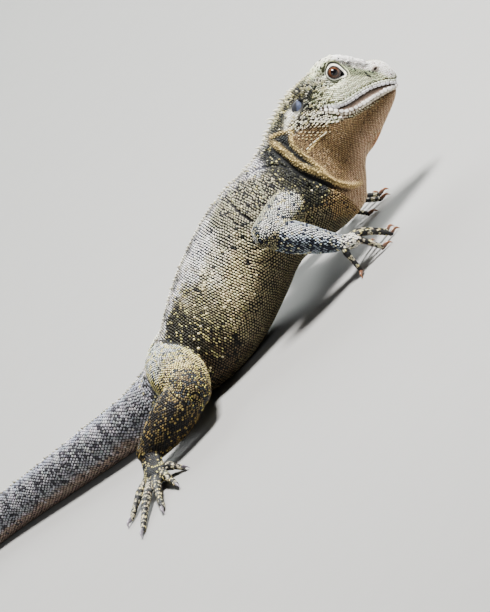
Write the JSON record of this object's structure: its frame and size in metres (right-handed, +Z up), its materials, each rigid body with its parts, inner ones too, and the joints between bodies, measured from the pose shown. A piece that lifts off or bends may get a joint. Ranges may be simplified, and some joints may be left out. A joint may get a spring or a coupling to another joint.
{
  "type": "water dragon figure",
  "caption": "Life-size still model of a Gippsland water dragon at rest on its belly with the head raised, long tail in an S-curve.",
  "frame": {"origin": "on the flat of the belly where it rests on the floor, at mount belly_rest; Z = 0 is the floor under belly, tail, fingers and toes", "axes": "+X towards the head along the straight part of the back, +Y to the animal's left, +Z up"},
  "size_m": [0.6954, 0.2343, 0.0944],
  "materials": {
    "hide": "matt scaly hide, olive grey with cream and blue-black scales",
    "throat": "matt fine-grained hide, ochre with a pale jaw",
    "limb": "matt scaly hide, blue-black with cream and yellow scales",
    "eye": "wet gloss, red-brown iris and round black pupil"
  },
  "bodies": {
    "root": {"eye_left": "eye", "eye_right": "eye", "foot_left": "limb", "foot_right": "limb", "forearm_left": "limb", "forearm_right": "limb", "hand_left": "limb", "hand_right": "limb", "head": "hide", "lower_jaw": "throat", "neck": "hide", "shank_left": "limb", "shank_right": "limb", "tail_middle": "hide", "tail_root": "hide", "tail_tip": "hide", "tail_whip": "hide", "thigh_left": "limb", "thigh_right": "limb", "torso": "hide", "upper_arm_left": "limb", "upper_arm_right": "limb"}
  },
  "joints": []
}
